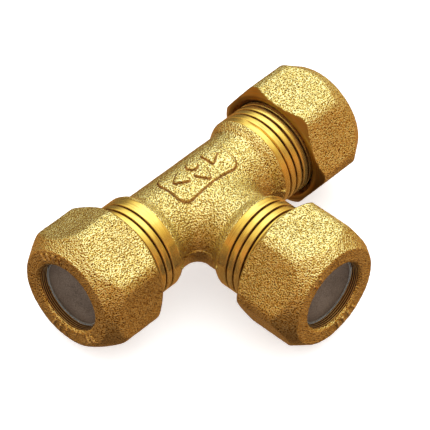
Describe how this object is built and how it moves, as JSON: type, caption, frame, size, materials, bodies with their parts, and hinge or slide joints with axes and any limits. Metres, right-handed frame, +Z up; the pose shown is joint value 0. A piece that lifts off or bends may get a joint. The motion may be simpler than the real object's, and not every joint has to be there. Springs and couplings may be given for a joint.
{
  "type": "compression tee fitting",
  "caption": "Forged brass equal tee compression fitting with hexagon union nuts on threaded arms, split grip rings, seals and grey dust plugs in the mouths.",
  "frame": {"origin": "where the axes of the run and the branch cross", "axes": "+X along the run towards the right nut, -Y along the branch towards its nut, +Z up"},
  "size_m": [0.075, 0.0513, 0.0276],
  "materials": {
    "forged_brass": "forged and blasted, fine grain, with machined ends and threads",
    "turned_brass": "turned",
    "nylon": "moulded nylon",
    "nitrile_rubber": "moulded rubber",
    "plug_plastic": "matt moulded plastic"
  },
  "bodies": {
    "tee": {"tee_body": "forged_brass", "left_seal_ring": "nitrile_rubber", "right_seal_ring": "nitrile_rubber", "branch_seal_ring": "nitrile_rubber"},
    "left_pack": {"left_slip_washer": "nylon", "left_grip_ring": "turned_brass", "left_thrust_washer": "turned_brass"},
    "left_nut": {"left_nut": "forged_brass"},
    "left_plug": {"left_dust_plug": "plug_plastic"},
    "right_pack": {"right_slip_washer": "nylon", "right_grip_ring": "turned_brass", "right_thrust_washer": "turned_brass"},
    "right_nut": {"right_nut": "forged_brass"},
    "right_plug": {"right_dust_plug": "plug_plastic"},
    "branch_pack": {"branch_slip_washer": "nylon", "branch_grip_ring": "turned_brass", "branch_thrust_washer": "turned_brass"},
    "branch_nut": {"branch_nut": "forged_brass"},
    "branch_plug": {"branch_dust_plug": "plug_plastic"}
  },
  "joints": [
    {"name": "left_nut_travel", "type": "slide", "parent": "tee", "child": "left_pack", "axis": [-1, 0, 0], "range_m": [-0.00181, 0.00544]},
    {"name": "left_nut_turn", "type": "hinge", "parent": "left_pack", "child": "left_nut", "pos_m": [-0.03, 0, 0], "axis": [-1, 0, 0], "range_deg": [-360, 1080]},
    {"name": "left_plug_pull", "type": "slide", "parent": "left_nut", "child": "left_plug", "axis": [-1, 0, 0], "range_m": [0, 0.012]},
    {"name": "right_nut_travel", "type": "slide", "parent": "tee", "child": "right_pack", "axis": [1, 0, 0], "range_m": [-0.00181, 0.00544]},
    {"name": "right_nut_turn", "type": "hinge", "parent": "right_pack", "child": "right_nut", "pos_m": [0.03, 0, 0], "axis": [1, 0, 0], "range_deg": [-360, 1080]},
    {"name": "right_plug_pull", "type": "slide", "parent": "right_nut", "child": "right_plug", "axis": [1, 0, 0], "range_m": [0, 0.012]},
    {"name": "branch_nut_travel", "type": "slide", "parent": "tee", "child": "branch_pack", "axis": [0, -1, 0], "range_m": [-0.00181, 0.00544]},
    {"name": "branch_nut_turn", "type": "hinge", "parent": "branch_pack", "child": "branch_nut", "pos_m": [0, -0.03, 0], "axis": [0, -1, 0], "range_deg": [-360, 1080]},
    {"name": "branch_plug_pull", "type": "slide", "parent": "branch_nut", "child": "branch_plug", "axis": [0, -1, 0], "range_m": [0, 0.012]}
  ],
  "couplings": [
    {"joint": "left_nut_travel", "follows": "left_nut_turn", "m_per_rad": 0.00028871},
    {"joint": "right_nut_travel", "follows": "right_nut_turn", "m_per_rad": 0.00028871},
    {"joint": "branch_nut_travel", "follows": "branch_nut_turn", "m_per_rad": 0.00028871}
  ]
}
